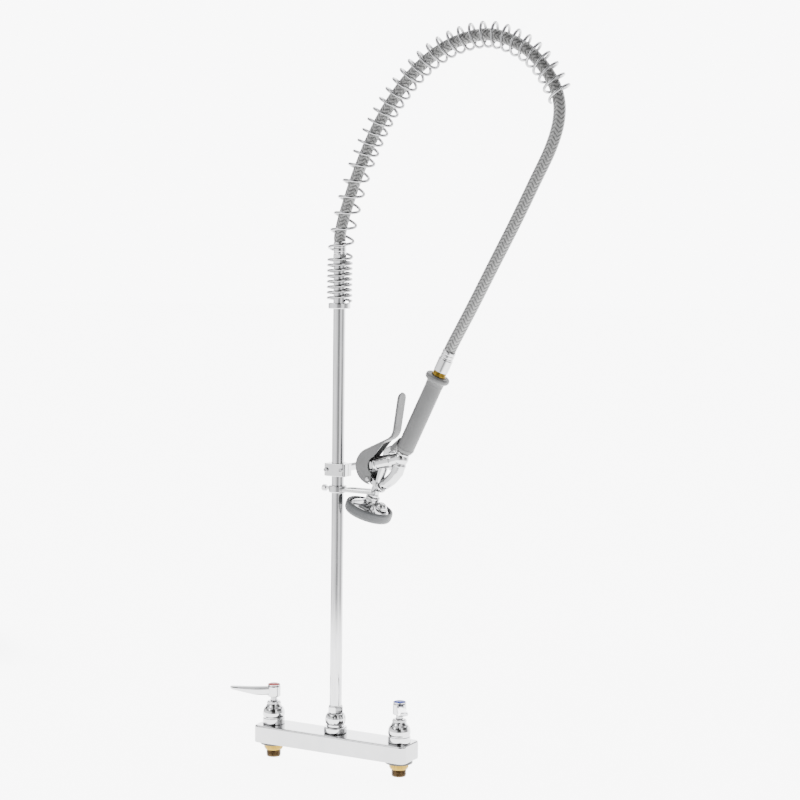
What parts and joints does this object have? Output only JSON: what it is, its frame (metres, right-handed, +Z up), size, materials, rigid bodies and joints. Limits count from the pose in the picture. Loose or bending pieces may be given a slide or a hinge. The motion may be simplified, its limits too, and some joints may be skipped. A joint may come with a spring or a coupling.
{
  "type": "pre rinse faucet",
  "caption": "Deck-mounted pre-rinse faucet: two lever valves on a long base, tall riser, spring-arched hose and squeeze spray valve on a hook.",
  "frame": {"origin": "centre of the base casting's underside, on the deck", "axes": "+X from the hot valve to the cold valve and towards the hanging spray, +Y to the wall, +Z up the riser"},
  "size_m": [0.4912, 0.2197, 1.0212],
  "materials": {
    "chrome": "mirror-bright chrome plate on brass",
    "steel": "plain bright steel",
    "brass": "machined brass",
    "black_rubber": "dull",
    "grip_grey": "satin moulded grey",
    "stop_grey": "satin moulded dark grey",
    "bumper_grey": "dull moulded rubber",
    "braid": "braided stainless wire over a rubber hose",
    "hot_red": "glossy red",
    "cold_blue": "glossy blue"
  },
  "bodies": {
    "base": {"base_body": "chrome", "outlet_ring": "chrome", "outlet_nut": "chrome", "hot_inlet_shank": "brass", "hot_shank_washer": "black_rubber", "hot_lock_nut": "brass", "hot_bonnet": "chrome", "hot_cartridge": "brass", "cold_inlet_shank": "brass", "cold_shank_washer": "black_rubber", "cold_lock_nut": "brass", "cold_bonnet": "chrome", "cold_cartridge": "brass"},
    "hot_handle": {"hot_stem": "steel", "hot_lever_handle": "chrome", "hot_handle_screw": "steel", "hot_index_button": "hot_red"},
    "cold_handle": {"cold_stem": "steel", "cold_lever_handle": "chrome", "cold_handle_screw": "steel", "cold_index_button": "cold_blue"},
    "riser": {"riser_adapter": "chrome", "outlet_o_ring": "black_rubber", "riser_pipe": "chrome", "spring_collar": "chrome", "collar_set_screw": "steel", "overhead_spring": "chrome", "hose_nut": "chrome", "upper_hose_ferrule": "chrome", "finger_hook": "chrome", "hook_screw": "chrome", "hose": "braid"},
    "wall_bracket": {"bracket_clamp_front": "chrome", "bracket_clamp_rear": "chrome", "clamp_screw_left": "steel", "clamp_screw_right": "steel", "bracket_rod": "chrome", "wall_flange": "chrome"},
    "spray": {"lower_hose_ferrule": "chrome", "hose_coupling": "brass", "hose_washer": "black_rubber", "handle_tube": "brass", "grip_sleeve": "grip_grey", "lever_stop": "stop_grey", "valve_body": "chrome", "valve_bonnet": "chrome", "packing_nut": "chrome", "stem_packing": "black_rubber", "valve_return_spring": "steel", "lever_pivot_pin": "steel", "spray_head_shell": "chrome", "spray_face": "stop_grey", "bumper_ring": "bumper_grey"},
    "spray_lever": {"squeeze_lever": "grip_grey"},
    "spray_stem": {"valve_stem": "steel", "stem_washer": "black_rubber"}
  },
  "joints": [
    {"name": "hot_handle_turn", "type": "hinge", "parent": "base", "child": "hot_handle", "pos_m": [-0.1016, 0, 0.0636], "axis": [0, 0, 1], "range_deg": [-40, 50]},
    {"name": "cold_handle_turn", "type": "hinge", "parent": "base", "child": "cold_handle", "pos_m": [0.1016, 0, 0.0636], "axis": [0, 0, 1], "range_deg": [-50, 40]},
    {"name": "riser_swivel", "type": "hinge", "parent": "base", "child": "riser", "pos_m": [0, 0, 0.0246], "axis": [0, 0, 1], "range_deg": [-180, 20]},
    {"name": "bracket_slide", "type": "slide", "parent": "base", "child": "wall_bracket", "axis": [0, 0, 1], "range_m": [0, 0.2]},
    {"name": "hose_swing", "type": "hinge", "parent": "riser", "child": "spray", "pos_m": [0.326, 0, 0.8987], "axis": [0, -1, 0], "range_deg": [0, 40], "stiffness_Nm_per_rad": 6, "springref_deg": -22.92, "deforming": ["hose"]},
    {"name": "lever_squeeze", "type": "hinge", "parent": "spray", "child": "spray_lever", "pos_m": [0.053, 0, 0.3862], "axis": [0, 1, 0], "range_deg": [0, 5], "stiffness_Nm_per_rad": 3, "springref_deg": -4.58},
    {"name": "valve_stem_travel", "type": "slide", "parent": "spray", "child": "spray_stem", "axis": [0.9659, 0, 0.2588], "range_m": [0, 0.0016]}
  ],
  "couplings": [
    {"joint": "valve_stem_travel", "follows": "lever_squeeze", "m_per_rad": 0.0175}
  ]
}
